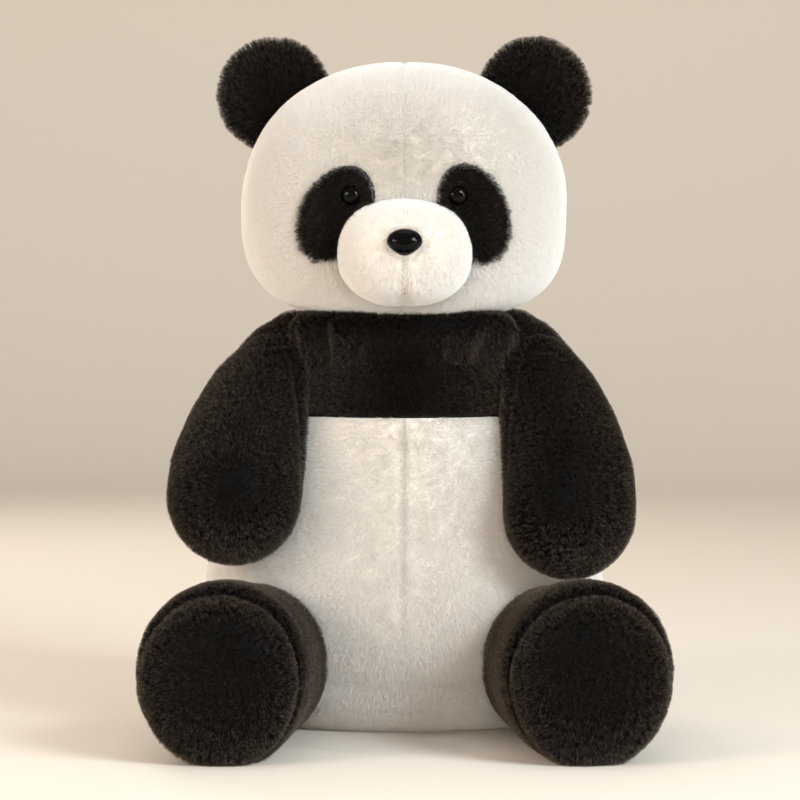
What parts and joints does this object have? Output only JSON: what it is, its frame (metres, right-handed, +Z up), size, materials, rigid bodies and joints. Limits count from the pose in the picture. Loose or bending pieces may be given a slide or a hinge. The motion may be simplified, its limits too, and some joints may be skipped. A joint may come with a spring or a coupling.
{
  "type": "plush panda",
  "caption": "Seated plush panda with stuffed round head, folding ears, raising arms, spreading legs, domed nose and eyes.",
  "frame": {"origin": "middle of the flat underside that the toy sits on", "axes": "+Z up; the toy faces -Y, and its own left is +X"},
  "size_m": [0.3292, 0.3965, 0.4674],
  "materials": {
    "white_plush": "deep plush pile",
    "black_plush": "deep plush pile",
    "stuffing": "loose fibre",
    "black_plastic": "high gloss",
    "washer_plastic": "matte",
    "thread": "twisted thread"
  },
  "bodies": {
    "torso": {"chest_panel": "black_plush", "upper_back_panel_left": "black_plush", "upper_back_panel_right": "black_plush", "belly_panel_left": "white_plush", "belly_panel_right": "white_plush", "lower_back_panel_left": "white_plush", "lower_back_panel_right": "white_plush", "seat_panel": "white_plush", "torso_stuffing": "stuffing", "tail_panel": "white_plush", "tail_stuffing": "stuffing"},
    "neck": {"neck_wad": "stuffing", "neck_seam_thread": "thread"},
    "head": {"face_panel_left": "white_plush", "face_panel_right": "white_plush", "head_back_panel_left": "white_plush", "head_back_panel_right": "white_plush", "eye_patch_left": "black_plush", "eye_patch_right": "black_plush", "eye_left": "black_plastic", "eye_right": "black_plastic", "eye_washer_left": "washer_plastic", "eye_washer_right": "washer_plastic", "muzzle_panel": "white_plush", "nose": "black_plastic", "nose_washer": "washer_plastic", "head_stuffing": "stuffing"},
    "ear_left": {"ear_front_panel_left": "black_plush", "ear_back_panel_left": "black_plush", "ear_stuffing_left": "stuffing"},
    "arm_left": {"arm_inner_panel_left": "black_plush", "arm_outer_panel_left": "black_plush", "arm_stuffing_left": "stuffing"},
    "leg_left": {"leg_upper_panel_left": "black_plush", "leg_lower_panel_left": "black_plush", "sole_panel_left": "black_plush", "leg_stuffing_left": "stuffing"},
    "ear_right": {"ear_front_panel_right": "black_plush", "ear_back_panel_right": "black_plush", "ear_stuffing_right": "stuffing"},
    "arm_right": {"arm_inner_panel_right": "black_plush", "arm_outer_panel_right": "black_plush", "arm_stuffing_right": "stuffing"},
    "leg_right": {"leg_upper_panel_right": "black_plush", "leg_lower_panel_right": "black_plush", "sole_panel_right": "black_plush", "leg_stuffing_right": "stuffing"}
  },
  "joints": [
    {"name": "head_turn", "type": "hinge", "parent": "torso", "child": "neck", "pos_m": [0, -0.005, 0.272], "axis": [0, 0, 1], "range_deg": [-30, 30], "stiffness_Nm_per_rad": 1},
    {"name": "head_nod", "type": "hinge", "parent": "neck", "child": "head", "pos_m": [0, -0.005, 0.272], "axis": [1, 0, 0], "range_deg": [-8, 5], "stiffness_Nm_per_rad": 2},
    {"name": "ear_left_fold", "type": "hinge", "parent": "head", "child": "ear_left", "pos_m": [0.079, 0.012, 0.4165], "axis": [0.6345, 0, -0.7729], "range_deg": [-15, 15], "stiffness_Nm_per_rad": 0.03},
    {"name": "arm_left_raise", "type": "hinge", "parent": "torso", "child": "arm_left", "pos_m": [0.078, -0.018, 0.241], "axis": [-1, 0, 0], "range_deg": [0, 50], "stiffness_Nm_per_rad": 0.1},
    {"name": "leg_left_spread", "type": "hinge", "parent": "torso", "child": "leg_left", "pos_m": [0.0985, -0.085, 0.048], "axis": [0, 0, 1], "range_deg": [0, 22], "stiffness_Nm_per_rad": 0.2},
    {"name": "ear_right_fold", "type": "hinge", "parent": "head", "child": "ear_right", "pos_m": [-0.079, 0.012, 0.4165], "axis": [0.6345, 0, 0.7729], "range_deg": [-15, 15], "stiffness_Nm_per_rad": 0.03},
    {"name": "arm_right_raise", "type": "hinge", "parent": "torso", "child": "arm_right", "pos_m": [-0.078, -0.018, 0.241], "axis": [-1, 0, 0], "range_deg": [0, 50], "stiffness_Nm_per_rad": 0.1},
    {"name": "leg_right_spread", "type": "hinge", "parent": "torso", "child": "leg_right", "pos_m": [-0.0985, -0.085, 0.048], "axis": [0, 0, -1], "range_deg": [0, 22], "stiffness_Nm_per_rad": 0.2}
  ]
}
